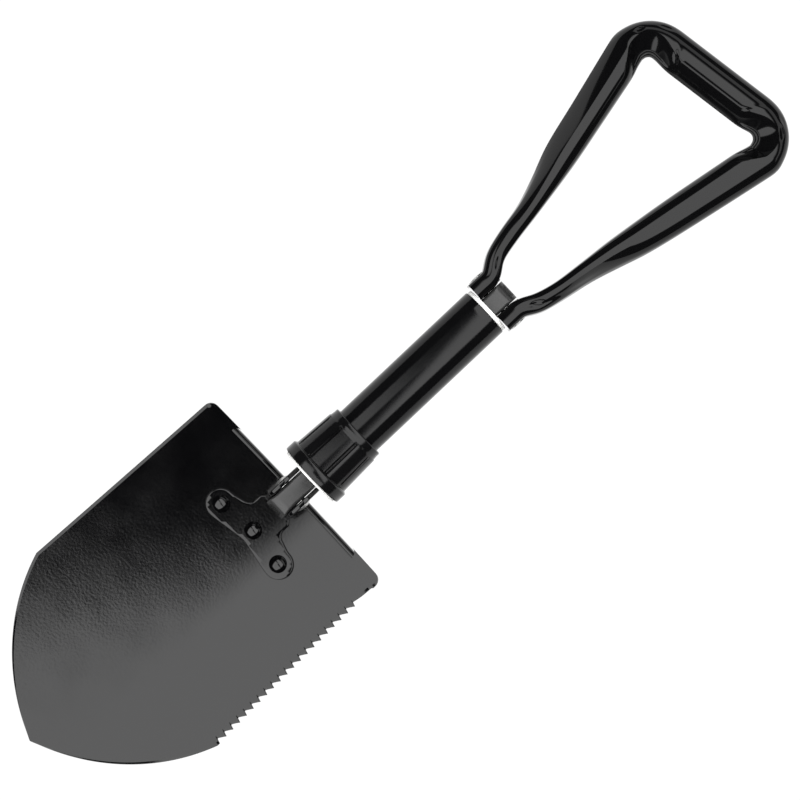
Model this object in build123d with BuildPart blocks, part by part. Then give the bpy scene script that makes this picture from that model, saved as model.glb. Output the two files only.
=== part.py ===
"""Folding camp shovel: dished blade, three-rivet hinge bracket, locking sleeve and D-handle.

Millimetres. +X runs up the shaft from the blade to the grip, +Y is the plain-edge side of
the blade and +Z leaves its dished face. The shovel lies open on its back: the origin is
under the middle of the whole tool, on the surface that its foot step touches.
Distances named "..._up" are measured up the shaft from the blade hinge.
"""
import os
from math import asin, atan, atan2, cos, degrees, hypot, radians, sin, sqrt, tan

from build123d import *

os.makedirs("parts", exist_ok=True)

# ---- blade ------------------------------------------------------------------------------
blade_sheet = 1.6
blade_reach = 214.5         # hinge to the pointed tip
blade_top_up = 1.4          # straight top edge, just above the hinge
shoulder_reach = 134.8      # hinge to the widest station
top_half_width = 73.4
shoulder_half_width = 77.8
tip_arc_radius = 128.0
top_corner_radius = 5.0
dish_radius = 250.0         # hollow across the blade
rocker_radius = 1500.0      # gentle hollow along it
tooth_count = 20
tooth_pitch = 5.65
tooth_depth = 2.8
tooth_root_flat = 0.4
tooth_steep_run = 0.7
first_tooth_reach = 20.0
step_half_width = 52.5      # the middle of the top edge is bent back as a foot step
step_bend_radius = 3.4      # outside of the bend
step_depth = 8.0            # from the blade's face to the step's lower edge
step_setback = 1.0          # step face below the top edge of the corner tabs

# ---- hinge bracket and its rivets -------------------------------------------------------
bracket_sheet = 2.5
pin_height = 24.0           # blade hinge above the blade's face
rivet_side_y = 25.0
rivet_side_reach = 36.8
rivet_middle_reach = 33.9
lobe_radius = 9.1
chevron_low_reach = 41.9
neck_half_width = 12.5
neck_low_reach = 24.4
ear_sheet = 2.8
ear_radius = 13.45
ear_flat = 13.2             # locking flats, open and at a right angle
ear_foot_reach = 3.0
rivet_head_radius = 5.45
rivet_head_height = 3.0
rivet_tail_radius = 5.0
rivet_tail_height = 1.8
rivet_shank_radius = 3.0

# ---- inner channel and the two hinge pins -----------------------------------------------
core_width = 13.0
core_depth = 20.0
core_wall = 2.2
core_edge_radius = 2.8
core_low_reach = 14.7
core_high = 9.3             # channel end above the handle hinge
core_end_radius = 8.0
hinge_spacing = 165.6       # blade hinge to handle hinge
pin_radius = 3.5
blade_pin_head_radius = 5.0
blade_pin_head = 1.4
handle_pin_head_radius = 5.6
handle_pin_head = 0.5
spacer_radius = 5.6

# ---- locking sleeve ---------------------------------------------------------------------
sleeve_radius = 15.7
sleeve_wall = 1.4
washer_low_up = 13.8
washer_thickness = 1.5
washer_spread = 3.9         # this and the next three: radial, outside the sleeve
collar_length = 38.2
flange_height = 7.3
flange_spread = 6.0
collar_low_wall = 4.3
collar_top_wall = 2.9
collar_floor = 2.2
collar_lift = 2.5           # travel of one turn of the collar
groove_count = 9
groove_width = 2.5
groove_depth = 0.8
groove_high_margin = 4.7    # from the grooves' upper ends to the collar's top
first_groove_angle = 14.0   # degrees from +Z towards -Y
sleeve_travel = 24.5
ferrule_length = 6.0
ferrule_spigot = 6.0
thread_pitch = 2.5
thread_depth = 0.5
ring_step = 0.7             # radial, the guide ring inside the sleeve's outline
ring_height = 2.6
ring_spigot = 9.0
bush_length = 10.0

# ---- handle: one bent steel tube with flattened ends --------------------------------------
handle_wall = 1.3
leg_end_reach = 7.4         # leg ends below the handle hinge
leg_end_width = 11.4
leg_end_height = 28.0
leg_straight = 6.5          # straight flattened length above the hinge
leg_relief_run = 3.2        # slope cut off the underside of the leg ends
leg_relief_rise = 6.5
bar_up = 181.5              # grip's centre line on the shaft axis, above the handle hinge
bar_skew = 9.3              # degrees: the -Y end of the grip stands further out
grip_width = 23.4
grip_height = 21.0
corner_bend_radius = 16.0
left_splay = 14.2           # degrees, +Y leg
right_splay = 10.0          # degrees, -Y leg
# leg sections: height above the handle hinge, centre off the shaft axis, width, height
left_leg = [(16.1, 19.2, 11.4, 28.0), (30.2, 22.95, 12.2, 27.5), (49.0, 26.45, 13.2, 27.0),
            (67.8, 31.35, 16.8, 25.0), (86.7, 36.9, 20.8, 22.8)]
right_leg = [(16.1, 17.6, 11.4, 28.0), (30.2, 21.1, 12.0, 27.5), (49.0, 23.9, 13.4, 27.0),
             (67.8, 27.4, 17.0, 25.0), (86.7, 31.4, 20.4, 22.8)]

# ---- clearances -------------------------------------------------------------------------
running = 0.05              # radial, round fits that turn
hinge_side = 0.35           # between the faces of a hinge
slide_fit = 0.3             # around pieces that slide
lock_gap = 0.4              # between the loosened lock's faces
rivet_fit = 0.35            # upright holes, rivets square to the dished surface
pin_fit = 0.02
rivet_seat_gap = 0.08       # under the flat of a rivet head on the hollow plate

# ---- derived places ---------------------------------------------------------------------
ear_inner = core_width / 2 + hinge_side
ear_outer = ear_inner + ear_sheet
leg_inner = core_width / 2 + hinge_side
leg_centre = leg_inner + leg_end_width / 2
leg_outer = leg_inner + leg_end_width

washer_radius = sleeve_radius + washer_spread
flange_radius = sleeve_radius + flange_spread
collar_low_radius = sleeve_radius + collar_low_wall
collar_top_radius = sleeve_radius + collar_top_wall
ring_radius = sleeve_radius - ring_step
washer_high_up = washer_low_up + washer_thickness
collar_top_up = washer_high_up + collar_length
ferrule_low_up = washer_high_up + collar_floor + collar_lift + sleeve_travel + slide_fit
sleeve_low_up = ferrule_low_up + ferrule_length
ring_top_up = hinge_spacing - leg_end_reach - lock_gap
sleeve_top_up = ring_top_up - ring_height


def corner(leg, splay, side):
    """Centre of a handle bend, and the bend's ends on the leg and on the grip.

    Distances are from the handle hinge (first) and from the shaft axis (second).
    """
    up, centre, _, _ = leg[-1]
    lean = radians(splay) * side
    skew = radians(bar_skew)
    bar_x = bar_up - corner_bend_radius / cos(skew)
    leg_y = side * (centre - corner_bend_radius / cos(lean))
    slope = tan(lean)
    x = (bar_x - tan(skew) * (leg_y - slope * up)) / (1 + tan(skew) * slope)
    y = leg_y + slope * (x - up)
    on_leg = (x - side * corner_bend_radius * sin(lean), y + side * corner_bend_radius * cos(lean))
    on_grip = (x + corner_bend_radius * cos(skew), y + corner_bend_radius * sin(skew))
    return (x, y), on_leg, on_grip


left_corner = corner(left_leg, left_splay, 1)
right_corner = corner(right_leg, right_splay, -1)
handle_reach = hinge_spacing + right_corner[0][0] + corner_bend_radius + grip_width / 2

pin_x = (blade_reach - handle_reach) / 2
handle_pin_x = pin_x + hinge_spacing
face_z = step_depth                 # blade's face at the foot step
pin_z = face_z + pin_height
step_x = pin_x + blade_top_up - step_setback - step_bend_radius


def at_up(distance):
    """Row X of a distance up the shaft from the blade hinge."""
    return pin_x + distance


def dome_middle(radius, height):
    """Point halfway along a spherical cap's profile: out from its axis, and up."""
    sphere = (radius ** 2 + height ** 2) / (2 * height)
    half = asin(min(1, radius / sphere)) / 2
    return sphere * sin(half), height - sphere * (1 - cos(half))


rivet_places = [(at_up(-rivet_side_reach), rivet_side_y), (at_up(-rivet_middle_reach), 0),
                (at_up(-rivet_side_reach), -rivet_side_y)]


def save(builder, name):
    builder.part.label = name
    export_step(builder.part, f"parts/{name}.step")


# ---- the dished surface that the blade and the bracket share ------------------------------
dish_centre = Vector(step_x, 0, face_z + rocker_radius)
dish_lead = 3.0             # degrees of surface kept above the step
dish_run = 11.0             # degrees of surface kept towards the tip
dish_half_angle = 24.0
dish_sections = 5


def dish_band(below, above, mode):
    """Add, keep or cut the layer between two heights off the blade's face."""
    drop = rocker_radius - dish_radius
    layers = (dish_radius - below, dish_radius - above)
    sections = []
    for step in range(dish_sections):
        tilt = radians(dish_lead - step * (dish_lead + dish_run) / (dish_sections - 1))
        plane = Plane(origin=dish_centre, x_dir=(0, 1, 0), z_dir=(cos(tilt), 0, sin(tilt)))
        with BuildSketch(plane) as section:
            with BuildLine():
                arcs = [CenterArc((0, -drop), radius, 270 - dish_half_angle, 2 * dish_half_angle)
                        for radius in layers]
                Line(arcs[0] @ 0, arcs[1] @ 0)
                Line(arcs[0] @ 1, arcs[1] @ 1)
            make_face()
        sections.append(section.sketch)
    loft(sections, mode=mode)


def surface_height(reach, y, above=0.0):
    """Height of the dished surface, offset upwards, at a distance down the blade."""
    x = pin_x - reach - step_x
    across = dish_radius - above
    radius = (rocker_radius - dish_radius) + sqrt(across ** 2 - y ** 2)
    return dish_centre.Z - sqrt(radius ** 2 - x ** 2)


def edge_half_width(reach):
    """Half width of the blade's straight flank."""
    share = (reach + blade_top_up) / (shoulder_reach + blade_top_up)
    return top_half_width + share * (shoulder_half_width - top_half_width)


def build_blade():
    top = at_up(blade_top_up)
    shoulder = at_up(-shoulder_reach)
    tip = at_up(-blade_reach)
    with BuildPart() as blade:
        with BuildSketch(Plane.XY) as outline:
            with BuildLine():
                Polyline((shoulder, shoulder_half_width), (top, top_half_width),
                         (top, -top_half_width), (shoulder, -shoulder_half_width))
                RadiusArc((shoulder, -shoulder_half_width), (tip, 0), tip_arc_radius)
                RadiusArc((tip, 0), (shoulder, shoulder_half_width), tip_arc_radius)
            make_face()
            fillet(outline.vertices().group_by(Axis.X)[-1], top_corner_radius)
            for tooth in range(tooth_count):
                crest = first_tooth_reach + tooth * tooth_pitch
                back = tooth_pitch - tooth_steep_run - tooth_root_flat
                root = edge_half_width(crest) - tooth_depth
                outside = edge_half_width(crest + tooth_pitch)
                with BuildLine():
                    Polyline((at_up(-crest), -edge_half_width(crest)),
                             (at_up(-crest - back), -root),
                             (at_up(-crest - back - tooth_root_flat), -root),
                             (at_up(-crest - tooth_pitch), -outside),
                             (at_up(-crest - tooth_pitch / 2), -outside - tooth_depth),
                             close=True)
                make_face(mode=Mode.SUBTRACT)
            with Locations((step_x + 2 * step_bend_radius, 0)):
                Rectangle(4 * step_bend_radius, 2 * step_half_width, mode=Mode.SUBTRACT)
            with Locations(rivet_places):
                Circle(rivet_shank_radius + rivet_fit, mode=Mode.SUBTRACT)
        extrude(amount=4 * pin_height)
        dish_band(-blade_sheet, 0, mode=Mode.INTERSECT)

        # foot step: the sheet turns back about the same cross curve as the dish
        bend_inner = step_bend_radius - blade_sheet
        with BuildSketch(Plane.XZ) as step_profile:
            with BuildLine():
                outer = CenterArc((step_x, face_z - step_bend_radius), step_bend_radius, 0, 90)
                inner = CenterArc((step_x, face_z - step_bend_radius), bend_inner, 0, 90)
                Line(outer @ 1, inner @ 1)
                low_out = (step_x + step_bend_radius, face_z - step_depth)
                low_in = (step_x + bend_inner, face_z - step_depth)
                Polyline(outer @ 0, low_out, low_in, inner @ 0)
            make_face()
        half_turn = degrees(asin(step_half_width / dish_radius))
        hub = Axis((0, 0, face_z + dish_radius), (1, 0, 0))
        revolve(step_profile.sketch, axis=hub, revolution_arc=half_turn)
        revolve(step_profile.sketch, axis=hub, revolution_arc=-half_turn)
    save(blade, "blade")


def rivet_planes():
    """Planes on the bracket's face at the three rivets, square to the dished surface."""
    planes = []
    for x, y in rivet_places:
        across = asin(y / dish_radius)
        along = (x - step_x) / rocker_radius
        normal = Vector(-sin(along), -sin(across), cos(across) * cos(along)).normalized()
        origin = Vector(x, y, surface_height(pin_x - x, y)) + normal * bracket_sheet
        planes.append(Plane(origin=origin, x_dir=(1, 0, 0), z_dir=normal))
    return planes


def build_bracket():
    with BuildPart() as bracket:
        # riveted chevron plate that lies on the dish
        with BuildSketch(Plane.XY) as plate:
            for side in (1, -1):
                with Locations((at_up(-rivet_side_reach), side * rivet_side_y)):
                    Circle(lobe_radius)
            lobe_high = at_up(-rivet_side_reach + lobe_radius)
            lobe_low = at_up(-rivet_side_reach - lobe_radius)
            with BuildLine():
                Polyline((at_up(-neck_low_reach), neck_half_width), (lobe_high, rivet_side_y),
                         (lobe_low, rivet_side_y), (at_up(-chevron_low_reach), 0),
                         (lobe_low, -rivet_side_y), (lobe_high, -rivet_side_y),
                         (at_up(-neck_low_reach), -neck_half_width), close=True)
            make_face()
            with BuildLine():
                Polyline((at_up(-neck_low_reach - 2), neck_half_width),
                         (at_up(-ear_radius - 3), neck_half_width),
                         (at_up(-ear_radius), ear_outer), (at_up(-ear_foot_reach), ear_outer),
                         (at_up(-ear_foot_reach), -ear_outer), (at_up(-ear_radius), -ear_outer),
                         (at_up(-ear_radius - 3), -neck_half_width),
                         (at_up(-neck_low_reach - 2), -neck_half_width), close=True)
            make_face()
            with Locations(rivet_places):
                Circle(rivet_shank_radius + rivet_fit, mode=Mode.SUBTRACT)
        extrude(amount=4 * pin_height)
        dish_band(0, bracket_sheet, mode=Mode.INTERSECT)

        # the two ears, rounded about the hinge, with flats for the lock
        ear_foot_z = face_z + bracket_sheet / 2
        with BuildSketch(Plane.XZ, mode=Mode.PRIVATE) as ear:
            with Locations((pin_x, pin_z)):
                Circle(ear_radius)
            with BuildLine():
                Polyline((at_up(-ear_radius), pin_z), (at_up(-ear_radius), ear_foot_z),
                         (at_up(-ear_foot_reach), ear_foot_z),
                         (at_up(ear_radius * 0.72), pin_z - ear_radius * 0.69),
                         (pin_x, pin_z), close=True)
            make_face()
            with Locations((pin_x + ear_flat + ear_radius, pin_z)):
                Rectangle(2 * ear_radius, 4 * ear_radius, mode=Mode.SUBTRACT)
            with Locations((pin_x, pin_z + ear_flat + ear_radius)):
                Rectangle(4 * ear_radius, 2 * ear_radius, mode=Mode.SUBTRACT)
            with Locations((pin_x, pin_z)):
                Circle(pin_radius + running, mode=Mode.SUBTRACT)
        for start in (ear_inner, -ear_outer):
            extrude(ear.sketch.moved(Location((0, start + ear_sheet, 0))), amount=ear_sheet)
    save(bracket, "blade_bracket")


def build_rivets():
    """Domed heads on the bracket, flatter set heads behind the blade."""
    grip = rivet_seat_gap + bracket_sheet + blade_sheet
    head_out, head_up = dome_middle(rivet_head_radius, rivet_head_height)
    tail_out, tail_up = dome_middle(rivet_tail_radius, rivet_tail_height)
    for name, spot in zip(("rivet_left", "rivet_middle", "rivet_right"), rivet_planes()):
        seat = spot.offset(rivet_seat_gap)
        side = Plane(origin=seat.origin, x_dir=seat.x_dir, z_dir=seat.x_dir.cross(seat.z_dir))
        with BuildPart() as rivet:
            with BuildSketch(side):
                with BuildLine():
                    ThreePointArc((rivet_head_radius, 0), (head_out, head_up),
                                  (0, rivet_head_height))
                    Polyline((0, rivet_head_height), (0, -grip - rivet_tail_height))
                    ThreePointArc((0, -grip - rivet_tail_height), (tail_out, -grip - tail_up),
                                  (rivet_tail_radius, -grip))
                    Polyline((rivet_tail_radius, -grip), (rivet_shank_radius, -grip),
                             (rivet_shank_radius, 0), (rivet_head_radius, 0))
                make_face()
            revolve(axis=Axis(seat.origin, seat.z_dir))
        save(rivet, name)


def build_core():
    """Folded channel that carries both hinges; its open side faces backwards."""
    low, high = at_up(-core_low_reach), handle_pin_x + core_high
    middle, length = (low + high) / 2, high - low
    with BuildPart() as core:
        with BuildSketch(Plane.YZ.offset(low)):
            with Locations((0, pin_z)):
                Rectangle(core_width, core_depth)
                with Locations((0, -core_wall)):
                    Rectangle(core_width - 2 * core_wall, core_depth, mode=Mode.SUBTRACT)
        extrude(amount=length)
        fillet(core.edges().filter_by(Axis.X).group_by(Axis.Z)[-1], core_edge_radius)
        with BuildSketch(Plane.XZ.offset(-core_width)) as side_view:
            with Locations((middle, pin_z)):
                Rectangle(length, core_depth)
            fillet(side_view.vertices(), core_end_radius)
        extrude(amount=2 * core_width, mode=Mode.INTERSECT)
        for x in (pin_x, handle_pin_x):
            with BuildSketch(Plane.XZ.offset(-core_width)):
                with Locations((x, pin_z)):
                    Circle(pin_radius + pin_fit)
            extrude(amount=2 * core_width, mode=Mode.SUBTRACT)
    save(core, "core_channel")


def build_pin(name, x, half_length, head_radius, head):
    """Hinge pin with a low domed head set at each end."""
    seat = half_length + hinge_side / 2
    head_out, head_up = dome_middle(head_radius, head)
    with BuildPart() as pin:
        with BuildSketch(Plane.XY.offset(pin_z)):
            with BuildLine():
                Polyline((x, -seat - head), (x, seat + head))
                ThreePointArc((x, seat + head), (x + head_out, seat + head_up),
                              (x + head_radius, seat))
                Polyline((x + head_radius, seat), (x + pin_radius, seat),
                         (x + pin_radius, -seat), (x + head_radius, -seat))
                ThreePointArc((x + head_radius, -seat), (x + head_out, -seat - head_up),
                              (x, -seat - head))
            make_face()
        revolve(axis=Axis((x, 0, pin_z), (0, 1, 0)))
    save(pin, name)


def build_spacer(name, x):
    """Bush that keeps the channel's walls apart where the pin clamps them."""
    length = core_width - 2 * core_wall
    with BuildPart() as spacer:
        with BuildSketch(Plane.XZ.offset(-length / 2)):
            with Locations((x, pin_z)):
                Circle(spacer_radius)
                Circle(pin_radius + pin_fit, mode=Mode.SUBTRACT)
        extrude(amount=length)
    save(spacer, name)


def core_passage(low_up, length):
    """Cut the hole that the channel runs through."""
    with BuildSketch(Plane.YZ.offset(at_up(low_up))) as passage:
        with Locations((0, pin_z)):
            Rectangle(core_width + 2 * slide_fit, core_depth + 2 * slide_fit)
    extrude(passage.sketch, amount=length, mode=Mode.SUBTRACT)


def disc(low_up, radius, length):
    """Round piece on the shaft axis."""
    with BuildSketch(Plane.YZ.offset(at_up(low_up))) as circle:
        with Locations((0, pin_z)):
            Circle(radius)
    extrude(circle.sketch, amount=length)


def build_washer():
    with BuildPart() as washer:
        disc(washer_low_up, washer_radius, washer_thickness)
        fillet(washer.edges().filter_by(GeomType.CIRCLE), 0.4)
        core_passage(washer_low_up, washer_thickness)
    save(washer, "thrust_washer")


def build_collar():
    """Grooved locking nut; its bore holds the threaded end of the sleeve."""
    bore = sleeve_radius + slide_fit
    through = hypot(core_width, core_depth) / 2 + slide_fit
    low, high = washer_high_up, collar_top_up
    shoulder = low + flange_height
    with BuildPart() as collar:
        with BuildSketch(Plane.XZ):
            with BuildLine():
                Polyline((at_up(low), pin_z + through), (at_up(low), pin_z + flange_radius),
                         (at_up(shoulder), pin_z + flange_radius),
                         (at_up(shoulder + 1.2), pin_z + collar_low_radius),
                         (at_up(high), pin_z + collar_top_radius), (at_up(high), pin_z + bore),
                         (at_up(low + collar_floor), pin_z + bore),
                         (at_up(low + collar_floor), pin_z + through), close=True)
            make_face()
        revolve(axis=Axis((0, 0, pin_z), (1, 0, 0)))
        outer_rims = collar.edges().filter_by(GeomType.CIRCLE).sort_by(SortBy.RADIUS)[-2:]
        fillet(outer_rims, 1.0)
        slope = atan((collar_low_radius - collar_top_radius) / (high - shoulder - 1.2))
        start, end = low + flange_height + 1.2, high - groove_high_margin
        middle_up = (start + end) / 2
        middle_radius = collar_low_radius - (middle_up - shoulder - 1.2) * tan(slope)
        for groove in range(groove_count):
            angle = radians(first_groove_angle + groove * 360 / groove_count)
            out = Vector(0, -sin(angle), cos(angle))
            face = Plane(origin=(at_up(middle_up), out.Y * middle_radius,
                                 pin_z + out.Z * middle_radius),
                         x_dir=(cos(slope), -out.Y * sin(slope), -out.Z * sin(slope)),
                         z_dir=(sin(slope), out.Y * cos(slope), out.Z * cos(slope)))
            with BuildSketch(face) as slot:
                SlotOverall(end - start, groove_width)
            extrude(slot.sketch, amount=groove_depth, both=True, mode=Mode.SUBTRACT)
    save(collar, "collar_nut")


def build_sleeve():
    bore = sleeve_radius - sleeve_wall
    length = sleeve_top_up - sleeve_low_up
    with BuildPart() as sleeve:
        disc(sleeve_low_up, sleeve_radius, length)
        with BuildSketch(Plane.YZ.offset(at_up(sleeve_low_up))):
            with Locations((0, pin_z)):
                Circle(bore)
        extrude(amount=length, mode=Mode.SUBTRACT)
    save(sleeve, "sleeve_tube")

    # white guide ring: a visible rim and a spigot inside the sleeve
    with BuildPart() as ring:
        disc(sleeve_top_up, ring_radius, ring_height)
        fillet(ring.edges().filter_by(GeomType.CIRCLE).group_by(Axis.X)[-1], 0.5)
        disc(sleeve_top_up - ring_spigot, bore, ring_spigot)
        core_passage(sleeve_top_up - ring_spigot, ring_spigot + ring_height)
    save(ring, "guide_ring")

    # threaded ferrule on the lower end, kept inside the collar
    bush_radius = bore - 1.6
    with BuildPart() as ferrule:
        disc(ferrule_low_up, sleeve_radius, ferrule_length)
        disc(sleeve_low_up, bore, ferrule_spigot)
        with BuildSketch(Plane.YZ.offset(at_up(ferrule_low_up))):
            with Locations((0, pin_z)):
                Circle(bush_radius)
        extrude(amount=ferrule_length + ferrule_spigot, mode=Mode.SUBTRACT)
        grooves = int((ferrule_length - 1) / thread_pitch)
        for groove in range(grooves):
            with BuildSketch(Plane.YZ.offset(at_up(ferrule_low_up + 1 + groove * thread_pitch))):
                with Locations((0, pin_z)):
                    Circle(sleeve_radius + 1)
                    Circle(sleeve_radius - thread_depth, mode=Mode.SUBTRACT)
            extrude(amount=thread_pitch / 2, mode=Mode.SUBTRACT)
    save(ferrule, "threaded_ferrule")

    with BuildPart() as bush:
        disc(ferrule_low_up, bush_radius, bush_length)
        core_passage(ferrule_low_up, bush_length)
    save(bush, "guide_bush")


def tube_section(plane, y, width, height, inset):
    """One section of the handle tube on the given plane, or of its bore."""
    radius = min(width, height) / 2 - 0.2 - inset
    with BuildSketch(plane) as section:
        with Locations((y, 0)):
            RectangleRounded(width - 2 * inset, height - 2 * inset, radius)
    return section.sketch


def across(up):
    """Plane square to the shaft at a height above the handle hinge."""
    return Plane(origin=(handle_pin_x + up, 0, pin_z), x_dir=(0, 1, 0), z_dir=(1, 0, 0))


def handle_side(side, leg, splay, ends, inset, mode):
    """Flattened leg end, S-bend, leg and corner bend, with every size less the inset."""
    centre, on_leg, on_grip = ends
    flat = tube_section(across(-leg_end_reach), side * leg_centre, leg_end_width, leg_end_height, inset)
    extrude(flat, amount=leg_end_reach + leg_straight, mode=mode)
    section = tube_section(across(leg_straight), side * leg_centre, leg_end_width, leg_end_height, inset)
    for up, offset, width, height in leg:
        station = tube_section(across(up), side * offset, width, height, inset)
        loft([section, station], mode=mode)
        section = station
    lean = radians(splay) * side
    at_bend = Plane(origin=(handle_pin_x + on_leg[0], on_leg[1], pin_z),
                    x_dir=(-sin(lean), cos(lean), 0), z_dir=(cos(lean), sin(lean), 0))
    bend = tube_section(at_bend, 0, grip_width, grip_height, inset)
    loft([section, bend], mode=mode)
    start = atan2(on_leg[1] - centre[1], on_leg[0] - centre[0])
    end = atan2(on_grip[1] - centre[1], on_grip[0] - centre[0])
    pivot = Axis((handle_pin_x + centre[0], centre[1], pin_z), (0, 0, side))
    revolve(bend, axis=pivot, revolution_arc=-abs(degrees(end - start)), mode=mode)


def build_handle():
    grip_start, grip_end = left_corner[2], right_corner[2]
    skew = radians(bar_skew)
    grip_length = hypot(grip_start[0] - grip_end[0], grip_start[1] - grip_end[1])
    grip_plane = Plane(origin=(handle_pin_x + grip_start[0], grip_start[1], pin_z),
                       x_dir=(cos(skew), sin(skew), 0), z_dir=(sin(skew), -cos(skew), 0))
    with BuildPart() as handle:
        for inset, mode in ((0.0, Mode.ADD), (handle_wall, Mode.SUBTRACT)):
            handle_side(1, left_leg, left_splay, left_corner, inset, mode)
            handle_side(-1, right_leg, right_splay, right_corner, inset, mode)
            extrude(tube_section(grip_plane, 0, grip_width, grip_height, inset),
                    amount=grip_length, mode=mode)
        with BuildSketch(Plane.XZ.offset(-2 * leg_outer)):
            with Locations((handle_pin_x, pin_z)):
                Circle(pin_radius + running)
        extrude(amount=4 * leg_outer, mode=Mode.SUBTRACT)
        # the underside of the leg ends is sloped so that they can turn past the sleeve's ring
        low, under = handle_pin_x - leg_end_reach, pin_z - leg_end_height / 2
        with BuildSketch(Plane.XZ.offset(-2 * leg_outer)):
            with BuildLine():
                Polyline((low - 1, under - 1), (low + leg_relief_run, under - 1),
                         (low + leg_relief_run, under), (low, under + leg_relief_rise),
                         (low - 1, under + leg_relief_rise), close=True)
            make_face()
        extrude(amount=4 * leg_outer, mode=Mode.SUBTRACT)
    save(handle, "handle")


build_blade()
build_bracket()
build_rivets()
build_core()
build_pin("blade_hinge_pin", pin_x, ear_outer, blade_pin_head_radius, blade_pin_head)
build_pin("handle_hinge_pin", handle_pin_x, leg_outer, handle_pin_head_radius, handle_pin_head)
build_spacer("blade_pin_spacer", pin_x)
build_spacer("handle_pin_spacer", handle_pin_x)
build_washer()
build_collar()
build_sleeve()
build_handle()
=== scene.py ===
"""Looks of the folding camp shovel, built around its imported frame.

Lengths inside the mesh code are millimetres in the frame's own axes: +X runs up the shaft,
+Y is the plain-edge side of the blade and +Z leaves its dished face.
"""

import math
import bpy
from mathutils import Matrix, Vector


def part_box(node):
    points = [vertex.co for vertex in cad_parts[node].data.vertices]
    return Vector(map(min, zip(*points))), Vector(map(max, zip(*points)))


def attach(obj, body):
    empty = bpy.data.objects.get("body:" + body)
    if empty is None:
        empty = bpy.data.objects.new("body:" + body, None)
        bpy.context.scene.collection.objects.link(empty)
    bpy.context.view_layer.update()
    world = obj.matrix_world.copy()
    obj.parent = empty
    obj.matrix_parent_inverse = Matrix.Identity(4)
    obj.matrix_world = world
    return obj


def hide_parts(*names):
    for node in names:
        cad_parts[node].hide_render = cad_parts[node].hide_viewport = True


bl_info = {
    "name": "Folding camp shovel",
    "version": (1, 0, 0),
    "blender": (4, 5, 0),
    "location": "View3D > Sidebar > Shovel",
    "description": "Builds the visible pieces, finishes and stage of a folding camp shovel",
    "category": "Add Mesh",
}

import bmesh
import bpy
import numpy as np
from bpy.props import FloatProperty, FloatVectorProperty, IntProperty, PointerProperty
from mathutils import Matrix, Vector

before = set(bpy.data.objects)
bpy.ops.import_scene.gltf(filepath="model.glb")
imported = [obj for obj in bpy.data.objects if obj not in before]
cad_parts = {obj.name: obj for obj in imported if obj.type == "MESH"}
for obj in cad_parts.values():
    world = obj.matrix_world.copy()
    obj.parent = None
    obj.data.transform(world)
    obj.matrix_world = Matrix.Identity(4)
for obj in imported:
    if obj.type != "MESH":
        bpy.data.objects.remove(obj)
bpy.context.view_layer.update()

MM = 0.001


def node_box(node):
    """Lowest and highest corner of a CAD node in millimetres."""
    low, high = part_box(node)
    return np.array(low) / MM, np.array(high) / MM


BLADE_LOW, BLADE_HIGH = node_box("blade")
PIN_LOW, PIN_HIGH = node_box("blade_hinge_pin")
HANDLE_PIN_LOW, HANDLE_PIN_HIGH = node_box("handle_hinge_pin")
CORE_LOW, CORE_HIGH = node_box("core_channel")
SLEEVE_LOW, SLEEVE_HIGH = node_box("sleeve_tube")
COLLAR_LOW, COLLAR_HIGH = node_box("collar_nut")
WASHER_LOW, WASHER_HIGH = node_box("thrust_washer")
RING_LOW, RING_HIGH = node_box("guide_ring")

PIN_X = (PIN_LOW[0] + PIN_HIGH[0]) / 2
PIN_Z = (PIN_LOW[2] + PIN_HIGH[2]) / 2
HANDLE_PIN_X = (HANDLE_PIN_LOW[0] + HANDLE_PIN_HIGH[0]) / 2
SLEEVE_RADIUS = (SLEEVE_HIGH[1] - SLEEVE_LOW[1]) / 2


# ---- settings ------------------------------------------------------------------------------
def size(name, text, value):
    """A length property in millimetres."""
    return FloatProperty(name=name, description=text, default=value, min=0.0)


def colour(name, text, value):
    """A linear colour property."""
    return FloatVectorProperty(name=name, description=text, default=value, subtype="COLOR",
                               size=3, min=0.0, max=1.0)


class SHOVEL_PG_blade(bpy.types.PropertyGroup):
    """Pressed blade."""
    sheet: size("Sheet", "Thickness of the pressed sheet", 1.6)
    pin_height: size("Hinge height", "Blade hinge above the blade's face", 24.0)
    dish: size("Dish radius", "Hollow across the blade", 250.0)
    rocker: size("Rocker radius", "Hollow along the blade", 1500.0)
    bend: size("Step bend", "Outside radius of the foot step's bend", 3.4)
    step_depth: size("Step depth", "From the blade's face to the step's lower edge", 8.0)
    step_half: size("Step half width", "Half the width of the foot step", 52.5)
    setback: size("Step setback", "Step face below the top of the corner tabs", 1.0)
    top_half: size("Top half width", "Half width at the top edge", 73.4)
    shoulder_reach: size("Shoulder reach", "Blade hinge to the widest station", 134.8)
    tip_arc: size("Tip arc", "Radius of the arcs that meet at the tip", 128.0)
    corner: size("Corner radius", "Rounding of the two top corners", 5.0)
    bevel: size("Edge grind", "Width of the ground edge", 1.5)
    tooth_pitch: size("Tooth pitch", "Spacing of the saw teeth", 5.65)
    tooth_depth: size("Tooth depth", "Depth of the saw teeth", 2.8)
    first_tooth: size("First tooth", "Blade hinge to the first tooth", 20.0)
    teeth: IntProperty(name="Teeth", description="Number of saw teeth", default=20, min=1)


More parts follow.
